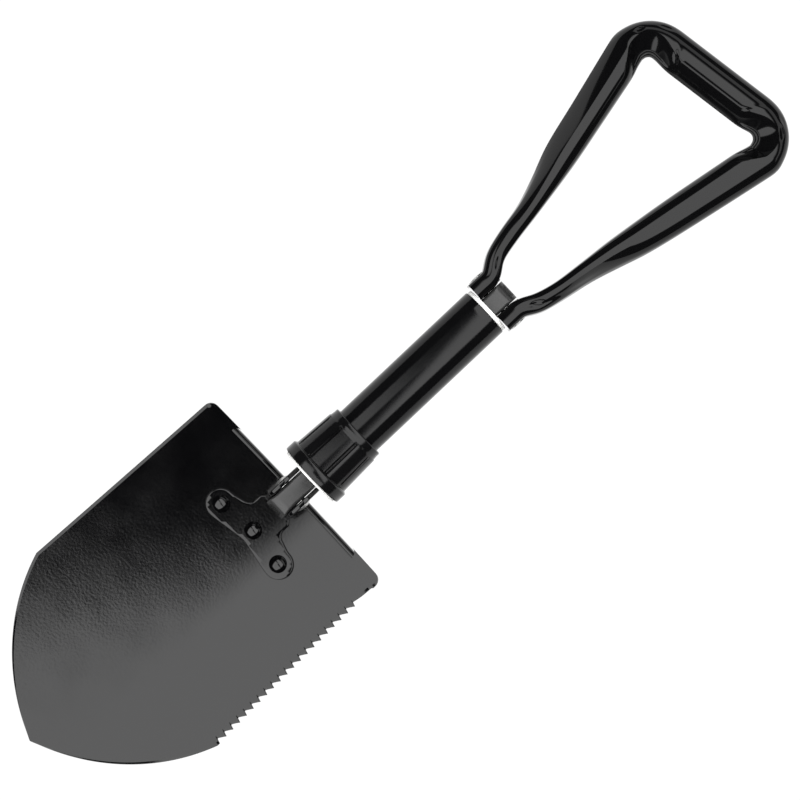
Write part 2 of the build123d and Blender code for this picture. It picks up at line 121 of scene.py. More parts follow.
class SHOVEL_PG_bracket(bpy.types.PropertyGroup):
    """Hinge bracket, rivets and the inner channel."""
    sheet: size("Plate", "Thickness of the riveted plate", 2.5)
    side_y: size("Side rivets", "Side rivets off the shaft axis", 25.0)
    side_reach: size("Side rivet reach", "Blade hinge to the side rivets", 36.8)
    middle_reach: size("Middle rivet reach", "Blade hinge to the middle rivet", 33.9)
    lobe: size("Lobe radius", "Rounding of the plate about the side rivets", 9.1)
    ear_sheet: size("Ear", "Thickness of the ears", 2.8)
    ear_inner: size("Ear gap", "Half the gap between the ears", 6.85)
    ear_radius: size("Ear radius", "Rounding of the ears about the hinge", 13.45)
    ear_flat: size("Ear flat", "Hinge to the locking flats", 13.2)
    head: size("Rivet head", "Radius of the rivet heads", 5.45)
    head_height: size("Rivet head height", "Height of the domed heads", 3.0)


class SHOVEL_PG_lock(bpy.types.PropertyGroup):
    """Locking collar and sleeve."""
    flange_height: size("Flange height", "Height of the collar's flange", 7.3)
    flange: size("Flange radius", "Radius of the collar's flange", 21.7)
    low: size("Body radius", "Radius of the collar's body above the flange", 20.0)
    top: size("Top radius", "Radius of the collar at its top", 18.6)
    flutes: IntProperty(name="Grooves", description="Grooves round the collar", default=9, min=3)
    first_flute: FloatProperty(name="First groove", description="Angle of a groove from +Z",
                               default=math.radians(14.0), subtype="ANGLE")
    flute_width: size("Groove width", "Width of a groove", 2.7)
    flute_depth: size("Groove depth", "Depth of a groove", 1.3)


class SHOVEL_PG_handle(bpy.types.PropertyGroup):
    """Bent-tube handle."""
    wall: size("Wall", "Wall of the tube", 1.3)
    end_reach: size("End reach", "Leg ends below the handle hinge", 7.4)
    leg_inner: size("Leg gap", "Half the gap between the leg ends", 6.62)
    end_width: size("Flat width", "Thickness of the flattened leg ends", 11.6)
    end_height: size("Flat height", "Height of the flattened leg ends", 28.0)
    straight: size("Flat length", "Straight flattened length above the hinge", 6.5)
    bar_up: size("Grip height", "Grip's centre line above the handle hinge", 181.5)
    skew: FloatProperty(name="Grip skew", description="Slope of the grip",
                        default=math.radians(9.3), subtype="ANGLE")
    left_splay: FloatProperty(name="Left splay", description="Lean of the +Y leg",
                              default=math.radians(14.2), subtype="ANGLE")
    right_splay: FloatProperty(name="Right splay", description="Lean of the -Y leg",
                               default=math.radians(10.0), subtype="ANGLE")
    bend: size("Bend radius", "Centre-line radius of the two corners", 16.0)
    grip_width: size("Grip width", "Width of the tube at the grip", 24.2)
    grip_height: size("Grip depth", "Depth of the tube at the grip", 20.4)


class SHOVEL_PG_finish(bpy.types.PropertyGroup):
    """Colours of the finishes."""
    enamel: colour("Gloss enamel", "Blade, bracket and rivets", (0.0011, 0.0011, 0.0013))
    satin: colour("Handle enamel", "Handle and sleeve", (0.0022, 0.0022, 0.0024))
    # the inner channel's near-black coat is lifted to dark grey here: a painted sheen that stands in
    # for the reflection on its face
    channel: colour("Channel coat and painted sheen", "Inner channel", (0.018, 0.018, 0.018))
    polymer: colour("Collar polymer", "Locking collar", (0.0028, 0.0028, 0.003))
    nylon: colour("Nylon", "Washer and rings", (0.86, 0.86, 0.84))
    zinc: colour("Zinc", "Pins and inner steel pieces", (0.55, 0.55, 0.54))


# ---- mesh helpers --------------------------------------------------------------------------
def make_piece(name, points, faces, material, body, replaces=(), sharp=35.0):
    """Object from points in millimetres, smooth with sharp edges, riding on a body."""
    mesh = bpy.data.meshes.new(name)
    mesh.from_pydata([tuple(np.array(p) * MM) for p in points], [], faces)
    work = bmesh.new()
    work.from_mesh(mesh)
    bmesh.ops.remove_doubles(work, verts=work.verts, dist=2e-6)
    bmesh.ops.dissolve_degenerate(work, edges=work.edges, dist=1e-6)
    bmesh.ops.recalc_face_normals(work, faces=work.faces)
    work.to_mesh(mesh)
    work.free()
    mesh.shade_smooth()
    mesh.set_sharp_from_angle(angle=math.radians(sharp))
    mesh.materials.append(material)
    piece = bpy.data.objects.new(name, mesh)
    bpy.context.scene.collection.objects.link(piece)
    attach(piece, body)
    if replaces:
        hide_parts(*replaces)
    return piece


def quads(rows, columns, start=0, closed=False):
    """Faces of a grid of rows by columns, its columns joined into a loop if closed."""
    faces = []
    last = columns if closed else columns - 1
    for row in range(rows - 1):
        for column in range(last):
            nxt = (column + 1) % columns
            a, b = start + row * columns + column, start + row * columns + nxt
            faces.append((a, b, b + columns, a + columns))
    return faces


def lathe(profile, origin, axis, steps=72, wobble=None):
    """Points and faces of a profile of (along, radius) pairs turned about an axis."""
    axis = Vector(axis).normalized()
    guide = Vector((0, 0, 1)) if abs(axis.z) < 0.9 else Vector((1, 0, 0))
    side = (guide - axis * guide.dot(axis)).normalized()
    up = axis.cross(side)
    points, faces = [], []
    for along, radius in profile:
        for step in range(steps):
            angle = 2 * math.pi * step / steps
            reach = radius if wobble is None else wobble(along, radius, angle)
            spot = Vector(origin) + axis * along
            spot += side * (reach * math.cos(angle)) + up * (reach * math.sin(angle))
            points.append(tuple(spot))
    faces = quads(len(profile), steps, closed=True)
    for ring, (along, radius) in ((0, profile[0]), (len(profile) - 1, profile[-1])):
        if radius > 1e-6:
            loop = [ring * steps + step for step in range(steps)]
            faces.append(tuple(loop))
    return points, faces


def round_profile(x, y, radius, start, end, steps=5):
    """Points of a profile's rounding about a centre, angles in degrees."""
    out = []
    for step in range(steps + 1):
        angle = math.radians(start + (end - start) * step / steps)
        out.append((x + radius * math.cos(angle), y + radius * math.sin(angle)))
    return out


def smoothstep(value):
    """Ease from 0 to 1, held outside them."""
    value = min(1.0, max(0.0, value))
    return value * value * (3 - 2 * value)


def join_rows(low, high):
    """Faces between two rows of point numbers of one length."""
    return [(low[k], high[k], high[k + 1], low[k + 1]) for k in range(len(high) - 1)]


def curve_through(stations, count):
    """Evenly sampled Catmull-Rom curve through rows of numbers, spaced by their first two."""
    rows = np.array(stations, float)
    first, last = 2 * rows[0] - rows[1], 2 * rows[-1] - rows[-2]
    rows = np.vstack([first, rows, last])
    fine = []
    for i in range(1, len(rows) - 2):
        p0, p1, p2, p3 = rows[i - 1:i + 3]
        for t in np.linspace(0, 1, 24, endpoint=False):
            fine.append(0.5 * (2 * p1 + (p2 - p0) * t + (2 * p0 - 5 * p1 + 4 * p2 - p3) * t ** 2
                               + (3 * p1 - p0 - 3 * p2 + p3) * t ** 3))
    fine.append(rows[-2])
    fine = np.array(fine)
    length = np.concatenate([[0], np.cumsum(np.hypot(*np.diff(fine[:, :2], axis=0).T))])
    at = np.linspace(0, length[-1], count)
    return np.stack([np.interp(at, length, fine[:, k]) for k in range(fine.shape[1])], axis=1)


# ---- materials -----------------------------------------------------------------------------
def new_material(name):
    """Material with its node tree and its shader."""
    material = bpy.data.materials.new(name)
    material.use_nodes = True
    tree = material.node_tree
    return material, tree, tree.nodes["Principled BSDF"]


def add_bump(tree, shader, height, distance, strength, before=None):
    """Bump on a shader, laid over an earlier bump if one is given."""
    bump = tree.nodes.new("ShaderNodeBump")
    bump.inputs["Distance"].default_value = distance
    bump.inputs["Strength"].default_value = strength
    tree.links.new(height, bump.inputs["Height"])
    if before is not None:
        tree.links.new(before.outputs["Normal"], bump.inputs["Normal"])
    tree.links.new(bump.outputs["Normal"], shader.inputs["Normal"])
    return bump


def noise_at(tree, scale, detail=2.0, stretch=(1, 1, 1), roughness=0.5):
    """Noise in object space, with its scale in patterns per metre."""
    place = tree.nodes.new("ShaderNodeTexCoord")
    mapping = tree.nodes.new("ShaderNodeMapping")
    mapping.inputs["Scale"].default_value = stretch
    noise = tree.nodes.new("ShaderNodeTexNoise")
    noise.inputs["Scale"].default_value = scale
    noise.inputs["Detail"].default_value = detail
    noise.inputs["Roughness"].default_value = roughness
    tree.links.new(place.outputs["Object"], mapping.inputs["Vector"])
    tree.links.new(mapping.outputs["Vector"], noise.inputs["Vector"])
    return noise.outputs["Fac"]


def vary(tree, factor, low, high, socket):
    """Drive a socket between two values from a noise factor."""
    span = tree.nodes.new("ShaderNodeMapRange")
    span.inputs["From Min"].default_value = 0.3
    span.inputs["From Max"].default_value = 0.7
    span.inputs["To Min"].default_value = low
    span.inputs["To Max"].default_value = high
    tree.links.new(factor, span.inputs["Value"])
    tree.links.new(span.outputs["Result"], socket)


def tint(tree, factor, base, lift, socket):
    """Vary a colour between itself and a slightly lifted one."""
    mix = tree.nodes.new("ShaderNodeMix")
    mix.data_type = "RGBA"
    mix.inputs["A"].default_value = (*base, 1)
    mix.inputs["B"].default_value = (*[min(1.0, c * lift) for c in base], 1)
    tree.links.new(factor, mix.inputs["Factor"])
    tree.links.new(mix.outputs["Result"], socket)


def enamel_material(name, base, roughness, index, peel, peel_size, waviness):
    """Sprayed enamel: colour under gloss, orange peel and a slow waviness."""
    material, tree, shader = new_material(name)
    tint(tree, noise_at(tree, 60, 3), base, 1.5, shader.inputs["Base Color"])
    vary(tree, noise_at(tree, 45, 3), roughness * 0.8, roughness * 1.25,
         shader.inputs["Roughness"])
    shader.inputs["IOR"].default_value = index
    slow = add_bump(tree, shader, noise_at(tree, 28, 1), 0.0022, waviness)
    add_bump(tree, shader, noise_at(tree, 1000 / peel_size, 1.5), 0.0006, peel, slow)
    return material


def satin_material(name, base, roughness, index, grain, lift=1.6):
    """Satin coating or moulded polymer with a fine grain."""
    material, tree, shader = new_material(name)
    tint(tree, noise_at(tree, 90, 3), base, lift, shader.inputs["Base Color"])
    vary(tree, noise_at(tree, 70, 3), roughness * 0.85, roughness * 1.2,
         shader.inputs["Roughness"])
    shader.inputs["IOR"].default_value = index
    add_bump(tree, shader, noise_at(tree, 1600, 2), 0.0002, grain)
    return material


def nylon_material(name, base):
    """Moulded nylon, slightly uneven in tone and gloss."""
    material, tree, shader = new_material(name)
    tint(tree, noise_at(tree, 140, 2), base, 0.94, shader.inputs["Base Color"])
    vary(tree, noise_at(tree, 110, 2), 0.34, 0.46, shader.inputs["Roughness"])
    add_bump(tree, shader, noise_at(tree, 900, 2), 0.0001, 0.15)
    return material


def zinc_material(name, base):
    """Zinc plate with fine drawn marks along it."""
    material, tree, shader = new_material(name)
    shader.inputs["Metallic"].default_value = 1.0
    tint(tree, noise_at(tree, 220, 3), base, 0.8, shader.inputs["Base Color"])
    vary(tree, noise_at(tree, 400, 2, stretch=(0.2, 1, 1)), 0.24, 0.4,
         shader.inputs["Roughness"])
    add_bump(tree, shader, noise_at(tree, 2400, 2, stretch=(0.1, 1, 1)), 0.0001, 0.2)
    return material


MATERIALS = {}


# ---- blade ---------------------------------------------------------------------------------
TOOTH_STEEP_RUN = 0.7
TOOTH_ROOT_FLAT = 0.5
TOOTH_BULGE = 0.9          # below 1 the long back of a tooth bows outward
TOOTH_MARKS = (0.03, 0.2, 0.42, 0.62, 0.785, 0.84, 0.872, 0.93, 0.985)
RUN_IN_START = 5.0         # blade hinge to where the flank starts to step in
RUN_IN_STEP = 0.9
RUN_IN_STEP_LENGTH = 0.6
RUN_IN_SLOPE = 2.0         # further drop by the first tooth
EDGE_MARGIN = 6.0          # band along both flanks that follows the outline
EDGE_SHARES = (0.35, 0.7, 1.0)
EDGE_DROP = 0.85
FLANK_COLUMNS = 6
STEP_COLUMNS = 35
TAB_SHARES = (0.25, 0.5, 0.7, 0.85, 0.95, 1.0)


class BladeShape:
    """The blade's dished surface and outline, worked out from its settings."""

    def __init__(self, settings):
        self.s = settings
        self.step_x = BLADE_HIGH[0] - settings.bend
        self.top_x = self.step_x + settings.bend + settings.setback
        self.face_z = PIN_Z - settings.pin_height
        self.tip_x = BLADE_LOW[0]
        self.shoulder_x = PIN_X - settings.shoulder_reach
        self.shoulder_half = BLADE_HIGH[1]
        chord = np.array([self.tip_x - self.shoulder_x, -self.shoulder_half])
        half = np.hypot(*chord) / 2
        middle = np.array([self.shoulder_x, self.shoulder_half]) + chord / 2
        inward = np.array([-chord[1], chord[0]]) / (2 * half)
        if inward[1] > 0:
            inward = -inward
        self.arc_centre = middle + inward * math.sqrt(settings.tip_arc ** 2 - half ** 2)

    def height(self, x, y):
        """Height of the dished face."""
        s = self.s
        radius = s.rocker - s.dish + math.sqrt(max(0.0, s.dish ** 2 - y * y))
        return self.face_z + s.rocker - math.sqrt(radius ** 2 - (x - self.step_x) ** 2)

    def half_width(self, x):
        """Half width of the plain outline."""
        s = self.s
        if x < self.shoulder_x:
            run = s.tip_arc ** 2 - (x - self.arc_centre[0]) ** 2
            return max(0.0, self.arc_centre[1] + math.sqrt(max(0.0, run)))
        share = (self.top_x - x) / (self.top_x - self.shoulder_x)
        half = s.top_half + share * (self.shoulder_half - s.top_half)
        into = x - (self.top_x - s.corner)
        if into > 0:
            half += math.sqrt(max(0.0, s.corner ** 2 - into ** 2)) - s.corner
        return half

    def notch(self, x):
        """Depth of the saw teeth at a station, and of the run-in before them."""
        s = self.s
        reach = PIN_X - x - s.first_tooth
        if reach < 0:
            run_in = s.first_tooth - RUN_IN_START
            lead = (PIN_X - x) - RUN_IN_START
            if lead < 0:
                return 0.0
            if lead > RUN_IN_STEP_LENGTH:
                return RUN_IN_STEP + RUN_IN_SLOPE * (lead / run_in) ** 2
            return RUN_IN_STEP * lead / RUN_IN_STEP_LENGTH
        tooth = reach / s.tooth_pitch
        if tooth > s.teeth:
            return 0.0
        along = (tooth - math.floor(tooth)) * s.tooth_pitch
        back = s.tooth_pitch - TOOTH_STEEP_RUN - TOOTH_ROOT_FLAT
        if along < back:
            return s.tooth_depth * (along / back) ** TOOTH_BULGE
        if along < back + TOOTH_ROOT_FLAT:
            return s.tooth_depth
        return s.tooth_depth * (s.tooth_pitch - along) / TOOTH_STEEP_RUN

    def stations(self):
        """X of the grid's stations from the foot step to the tip."""
        s = self.s
        out = list(np.linspace(self.step_x, PIN_X - s.first_tooth, 22))
        for tooth in range(s.teeth):
            start = PIN_X - s.first_tooth - tooth * s.tooth_pitch
            out += [start - mark * s.tooth_pitch for mark in TOOTH_MARKS]
        last = PIN_X - s.first_tooth - s.teeth * s.tooth_pitch
        out += [last, last - 0.7 * (last - self.shoulder_x), self.shoulder_x]
        span = self.shoulder_x - self.tip_x
        out += [self.shoulder_x - span * math.sin(0.5 * math.pi * i / 44) for i in range(1, 45)]
        return out


def blade_rows(shape, x, inner):
    """Y of every row at a station: the even inner rows, then the rows at both edges."""
    half = shape.half_width(x)
    margin = min(EDGE_MARGIN, 0.3 * half)
    bevel = min(shape.s.bevel, 0.1 * half)
    body = [q * (half - margin) for q in inner]
    left = [half - margin + share * (margin - bevel) for share in EDGE_SHARES] + [half]
    edge = half - shape.notch(x)
    start = half - margin
    right = [-(start + share * (edge - bevel - start)) for share in EDGE_SHARES] + [-edge]
    return right[::-1] + body + left


def build_blade(settings, material):
    """Pressed sheet with ground edges, saw teeth, corner tabs and the foot step."""
    shape = BladeShape(settings)
    fold = settings.step_half / (shape.half_width(shape.step_x) - EDGE_MARGIN)
    inner = list(np.linspace(-1, -fold, FLANK_COLUMNS))[:-1]
    inner += list(np.linspace(-fold, fold, STEP_COLUMNS))
    inner += list(np.linspace(fold, 1, FLANK_COLUMNS))[1:]
    edge_columns = len(EDGE_SHARES) + 1
    columns = len(inner) + 2 * edge_columns
    fold_low = edge_columns + FLANK_COLUMNS - 1
    fold_high = fold_low + STEP_COLUMNS - 1
    points = []
    stations = shape.stations()
    for x in stations:
        for y in blade_rows(shape, x, inner):
            points.append((x, y, shape.height(x, y)))
    faces = quads(len(stations), columns)

    # corner tabs carry the sheet straight on above the step's line
    rise = shape.top_x - shape.step_x
    for low, high in ((0, fold_low), (fold_high, columns - 1)):
        previous = list(range(low, high + 1))
        for share in TAB_SHARES:
            x = shape.step_x + rise * share
            ys = blade_rows(shape, x, inner)[low:high + 1]
            base = len(points)
            points += [(x, y, shape.height(x, y)) for y in ys]
            row = list(range(base, base + len(ys)))
            faces += join_rows(previous, row)
            previous = row

    # foot step, bent back about the same cross curve
    previous = list(range(fold_low, fold_high + 1))
    hub = shape.face_z + settings.dish
    trail = [(settings.bend * math.sin(a), settings.bend * (1 - math.cos(a)))
             for a in np.radians(np.linspace(10, 90, 9))]
    trail += [(settings.bend, settings.bend + d)
              for d in np.linspace(0, settings.step_depth - settings.bend, 4)[1:]]
    for out, down in trail:
        base = len(points)
        for k in range(fold_low, fold_high + 1):
            y = points[k][1]
            angle = math.asin(y / settings.dish)
            reach = settings.dish + down
            points.append((shape.step_x + out, reach * math.sin(angle), hub - reach * math.cos(angle)))
        row = list(range(base, len(points)))
        faces += join_rows(previous, row)
        previous = row

    points, faces = thicken(points, faces, settings.sheet)
    # the edges are ground from the face, all round the flanks and the tip
    for row, x in enumerate(stations):
        for column in (0, columns - 1):
            index = row * columns + column
            drop = EDGE_DROP * smoothstep(shape.half_width(x) / EDGE_MARGIN)
            points[index] = (points[index][0], points[index][1], points[index][2] - drop)
    return make_piece("blade_sheet", points, faces, material, "blade", ("blade",),
                      sharp=24.0)


def thicken(points, faces, depth):
    """Closed sheet: the given surface, its copy below and the rim between them."""
    array = np.array(points, float)
    normals = np.zeros_like(array)
    for face in faces:
        a, b, c, d = (array[i] for i in face)
        normal = np.cross(c - a, d - b)
        for i in face:
            normals[i] += normal
    lengths = np.linalg.norm(normals, axis=1)
    lengths[lengths < 1e-9] = 1.0
    normals /= lengths[:, None]
    if normals[:, 2].sum() < 0:
        normals = -normals
    flat = np.linalg.norm(normals, axis=1) < 0.5
    normals[flat] = (0, 0, 1)
    below = array - normals * depth
    count = len(points)
    used = {}
    for face in faces:
        for a, b in zip(face, face[1:] + face[:1]):
            key = (min(a, b), max(a, b))
            used[key] = used.get(key, 0) + 1
    rim = [(a, b, b + count, a + count) for (a, b), times in used.items() if times == 1]
    back = [tuple(i + count for i in reversed(face)) for face in faces]
    out = [tuple(p) for p in array] + [tuple(p) for p in below]
    return out, list(faces) + back + rim


# ---- bracket, rivets and pins ----------------------------------------------------------------
NECK_HALF = 12.5           # plate between the ears and the side lobes
NECK_REACH = 24.4
PLATE_LOW_REACH = 41.9     # blade hinge to the plate's lower edge, before its rounding
PLATE_EDGE = 0.7
EAR_EDGE = 0.75
EAR_FOOT = 0.9             # foot of the ears above the blade's face
RIVET_SHANK = 3.0
RIVET_TAIL = (5.0, 1.8)    # radius and height behind the blade
PIN_SHANK = 3.5
BLADE_PIN_HEAD = (5.0, 1.4)
HANDLE_PIN_HEAD = (5.6, 0.5)
CHANNEL_WALL = 2.2
CHANNEL_EDGE = 2.6
CHANNEL_EDGE_INSIDE = 0.8
CHANNEL_END = 8.0


def rounded_outline(corners, steps=6):
    """Outline with each corner (x, y, radius) rounded."""
    out = []
    count = len(corners)
    for i, (x, y, radius) in enumerate(corners):
        here = Vector((x, y))
        before = (Vector(corners[i - 1][:2]) - here)
        after = (Vector(corners[(i + 1) % count][:2]) - here)
        if radius <= 0:
            out.append((x, y))
            continue
        angle = before.angle(after)
        run = radius / math.tan(angle / 2)
        before.normalize()
        after.normalize()
        start, end = here + before * run, here + after * run
        centre = here + (before + after).normalized() * (radius / math.sin(angle / 2))
        a0 = math.atan2(*(start - centre).yx)
        a1 = math.atan2(*(end - centre).yx)
        while a1 - a0 > math.pi:
            a1 -= 2 * math.pi
        while a1 - a0 < -math.pi:
            a1 += 2 * math.pi
        for step in range(steps + 1):
            a = a0 + (a1 - a0) * step / steps
            out.append((centre.x + radius * math.cos(a), centre.y + radius * math.sin(a)))
    return out


def slab(outline, thickness, edge, cuts=()):
    """Bevelled flat plate from an outline, cut along planes given as (axis, place)."""
    work = bmesh.new()
    low = [work.verts.new((x, y, 0)) for x, y in outline]
    face = work.faces.new(low)
    result = bmesh.ops.extrude_face_region(work, geom=[face])
    top = [v for v in result["geom"] if isinstance(v, bmesh.types.BMVert)]
    bmesh.ops.translate(work, verts=top, vec=(0, 0, thickness))
    work.normal_update()
    rims = [e for e in work.edges if len(e.link_faces) == 2
            and e.calc_face_angle(0) > math.radians(60)
            and abs(e.verts[0].co.z - e.verts[1].co.z) < 1e-6]
    bmesh.ops.bevel(work, geom=rims, offset=edge, segments=3, profile=0.5, affect="EDGES")
    for axis, place in cuts:
        geometry = list(work.verts) + list(work.edges) + list(work.faces)
        normal = Vector((axis == "x", axis == "y", 0.0))
        bmesh.ops.bisect_plane(work, geom=geometry, plane_co=normal * place, plane_no=normal)
    points = [tuple(v.co) for v in work.verts]
    work.verts.index_update()
    faces = [tuple(v.index for v in f.verts) for f in work.faces]
    work.free()
    return points, faces


def merge(*solids):
    """Join lists of points and faces."""
    points, faces = [], []
    for more_points, more_faces in solids:
        base = len(points)
        points += list(more_points)
        faces += [tuple(i + base for i in face) for face in more_faces]
    return points, faces


def build_bracket(settings, blade_settings, material):
    """Chevron plate pressed to the dish, with two rounded ears."""
    shape = BladeShape(blade_settings)
    s = settings
    ear_outer = s.ear_inner + s.ear_sheet
    side_x = PIN_X - s.side_reach
    half = [(PIN_X - 3.0, ear_outer, 1.0), (PIN_X - s.ear_radius, ear_outer, 2.0),
            (PIN_X - s.ear_radius - 3.0, NECK_HALF, 2.0), (PIN_X - NECK_REACH, NECK_HALF, 5.0),
            (side_x + s.lobe + 0.2, s.side_y - 2, 0)]
    arc = [(side_x + s.lobe * math.cos(a), s.side_y + s.lobe * math.sin(a), 0)
           for a in np.radians(np.linspace(0, 180, 19))]
    half = half + arc + [(side_x - s.lobe + 0.2, s.side_y - 3, 0)]
    middle_low = [(PIN_X - PLATE_LOW_REACH, 0, 14.0)]
    other = [(x, -y, r) for x, y, r in reversed(half)]
    outline = rounded_outline(half + middle_low + other)
    cuts = [("y", y) for y in np.arange(-33, 34, 2.0)]
    cuts += [("x", PIN_X - reach) for reach in np.arange(4, 46, 2.0)]
    plate = slab(outline, s.sheet, PLATE_EDGE, cuts)
    plate = ([(x, y, z + shape.height(x, y)) for x, y, z in plate[0]], plate[1])

    foot = shape.face_z + EAR_FOOT
    ear = []
    for angle in np.radians(np.linspace(180, -44, 57)):
        x, z = s.ear_radius * math.cos(angle), s.ear_radius * math.sin(angle)
        ear.append((min(x, s.ear_flat), min(z, s.ear_flat)))
    ear += [(-2.0, foot - PIN_Z), (-s.ear_radius, foot - PIN_Z)]
    ears = []
    for start in (s.ear_inner, -ear_outer):
        points, faces = slab(ear, s.ear_sheet, EAR_EDGE)
        ears.append(([(PIN_X + x, start + z, PIN_Z + y) for x, y, z in points], faces))

    points, faces = merge(plate, *ears)
    return make_piece("hinge_bracket", points, faces, material, "blade", ("blade_bracket",),
                      sharp=40.0)


def dome(radius, height, steps=10):
    """Profile of a spherical cap, from its foot to its crown."""
    sphere = (radius ** 2 + height ** 2) / (2 * height)
    reach = math.asin(min(1.0, radius / sphere))
    return [(height - sphere * (1 - math.cos(a)), sphere * math.sin(a))
            for a in np.linspace(reach, 0.0, steps)]


def build_rivet(name, node, x, y, bracket, blade_settings, material):
    """Domed head on the bracket, shank, and the flatter head set behind the blade."""
    shape = BladeShape(blade_settings)
    across = math.asin(y / blade_settings.dish)
    along = (x - shape.step_x) / blade_settings.rocker
    normal = Vector((-math.sin(along), -math.sin(across), math.cos(across) * math.cos(along)))
    normal.normalize()
    grip = bracket.sheet + blade_settings.sheet
    seat = Vector((x, y, shape.height(x, y))) + normal * bracket.sheet
    tail = [(-grip - up, out) for up, out in dome(*RIVET_TAIL)][::-1]
    head = dome(bracket.head, bracket.head_height, 14)
    profile = tail + [(-grip, RIVET_SHANK), (0.05, RIVET_SHANK), (0.05, bracket.head - 0.15)] + head
    points, faces = lathe(profile, seat, normal, 64)
    return make_piece(name, points, faces, material, "blade", (node,))


def build_pin(name, node, head_radius, head, material, slot):
    """Hinge pin with a set head at each end."""
    low, high = node_box(node)
    x, z = (low[0] + high[0]) / 2, (low[2] + high[2]) / 2
    seat = high[1] - head
    cap = dome(head_radius, head)
    profile = [(-seat - up, out) for up, out in cap][::-1]
    profile += [(-seat, PIN_SHANK), (seat, PIN_SHANK)] + [(seat + up, out) for up, out in cap]
    points, faces = lathe(profile, (x, 0, z), (0, 1, 0), 48)
    return make_piece(name, points, faces, material, "shaft", (node,))


def build_channel(material):
    """Folded channel with rounded edges and rounded ends, open at its back."""
    width, depth = CORE_HIGH[1] - CORE_LOW[1], CORE_HIGH[2] - CORE_LOW[2]
    half, edge, end = width / 2, CHANNEL_EDGE, CHANNEL_END
    inside = half - CHANNEL_WALL
    bend_y, bend_z = inside - CHANNEL_EDGE_INSIDE, depth / 2 - CHANNEL_WALL - CHANNEL_EDGE_INSIDE
    section = [(-half, -depth / 2)] + round_profile(-half + edge, depth / 2 - edge, edge, 180, 90)
    section += round_profile(half - edge, depth / 2 - edge, edge, 90, 0) + [(half, -depth / 2)]
    section += [(inside, -depth / 2)] + round_profile(bend_y, bend_z, CHANNEL_EDGE_INSIDE, 0, 90)
    section += round_profile(-bend_y, bend_z, CHANNEL_EDGE_INSIDE, 90, 180)
    section += [(-inside, -depth / 2)]
    points = []
    length = CORE_HIGH[0] - CORE_LOW[0]
    ends = [end * (1 - math.cos(a)) for a in np.radians(np.linspace(0, 90, 9))]
    stations = ends + list(np.linspace(end, length - end, 12))[1:-1]
    stations += [length - e for e in ends[::-1]]
    for along in stations:
        into = min(along, length - along)
        shrink = 0.0
        if into < end:
            shrink = end - math.sqrt(max(0.0, end ** 2 - (end - into) ** 2))
        reach = depth / 2 - shrink
        for y, z in section:
            points.append((CORE_LOW[0] + along, y, PIN_Z + max(-reach, min(reach, z))))
    columns, last = len(section), len(stations) - 1
    faces = quads(len(stations), columns, closed=True)
    faces += [tuple(range(columns)), tuple(last * columns + k for k in range(columns))]
    return make_piece("core_bar", points, faces, material, "shaft", ("core_channel",),
                      sharp=35.0)


# ---- lock ------------------------------------------------------------------------------------
SLEEVE_WALL = 1.4
SLIDE_FIT = 0.3            # around pieces that slide
COLLAR_FLOOR = 2.2
COLLAR_PASSAGE = 12.4      # radius of the hole for the channel
GROOVE_SIDE = 0.55         # width of a groove's sloping wall
GROOVE_RIB = 0.55          # share of the depth that the rib in a groove's middle fills
RIM_EDGE = 0.4             # rounding of the washer's and the ring's rims


def build_collar(settings, material):
    """Locking nut: plain flange, grooved body and a smooth tapering top."""
    s = settings
    low, high = COLLAR_LOW[0], COLLAR_HIGH[0]
    bore = SLEEVE_RADIUS + SLIDE_FIT
    groove_low, groove_high = low + s.flange_height + 0.6, high - 5.6

    def body_radius(x):
        share = (x - low - s.flange_height) / (high - low - s.flange_height)
        return s.low + (s.top - s.low) * share

    floor, passage = low + COLLAR_FLOOR, COLLAR_PASSAGE
    profile = [(floor, passage), (low, passage), (low, s.flange - 0.9)]
    profile += [(low + 0.9 + 0.9 * math.cos(a), s.flange - 0.9 + 0.9 * math.sin(a))
                for a in np.radians((150, 120, 90))]
    top = low + s.flange_height
    profile += [(top - 1.0 + math.cos(a), s.flange - 1.0 + math.sin(a))
                for a in np.radians((90, 60, 30, 0))]
    profile += [(top + 0.15, s.low + 0.7), (top + 0.5, s.low + 0.15)]
    profile += [(x, body_radius(x)) for x in
                [groove_low, groove_low + 0.35, groove_low + 0.9]
                + list(np.linspace(groove_low + 2, groove_high - 2, 12))
                + [groove_high - 1.1, groove_high - 0.5, groove_high]]
    profile += [(groove_high + 0.8, body_radius(groove_high + 0.8) - 0.5),
                (high - 2.4, body_radius(high) - 0.55)]
    profile += [(high - 0.8 + 0.8 * math.cos(a), s.top - 1.35 + 0.8 * math.sin(a))
                for a in np.radians((90, 60, 30, 0))]
    profile += [(high, bore), (floor, bore), (floor, passage)]
    pitch = 2 * math.pi / s.flutes

    def grooved(along, radius, angle):
        if not groove_low - 0.2 < along < groove_high + 0.2 or radius < bore + 1:
            return radius
        off = ((angle - s.first_flute) / pitch + 0.5) % 1.0 - 0.5
        across = abs(off) * pitch * radius
        wall = smoothstep((s.flute_width / 2 - across) / GROOVE_SIDE)
        rib = GROOVE_RIB * smoothstep((0.55 - across) / 0.4)
        ends = smoothstep((along - groove_low) / 0.8) * smoothstep((groove_high - along) / 0.8)
        return radius - s.flute_depth * (wall - rib * wall) * ends

    shifted = [(x - low, r) for x, r in profile]
    points, faces = lathe(shifted, (low, 0, PIN_Z), (1, 0, 0), 480,
                          wobble=lambda a, r, t: grooved(a + low, r, t))
    faces = [f for f in faces if len(f) == 4]
    return make_piece("locking_collar", points, faces, material, "collar", ("collar_nut",),
                      sharp=38.0)


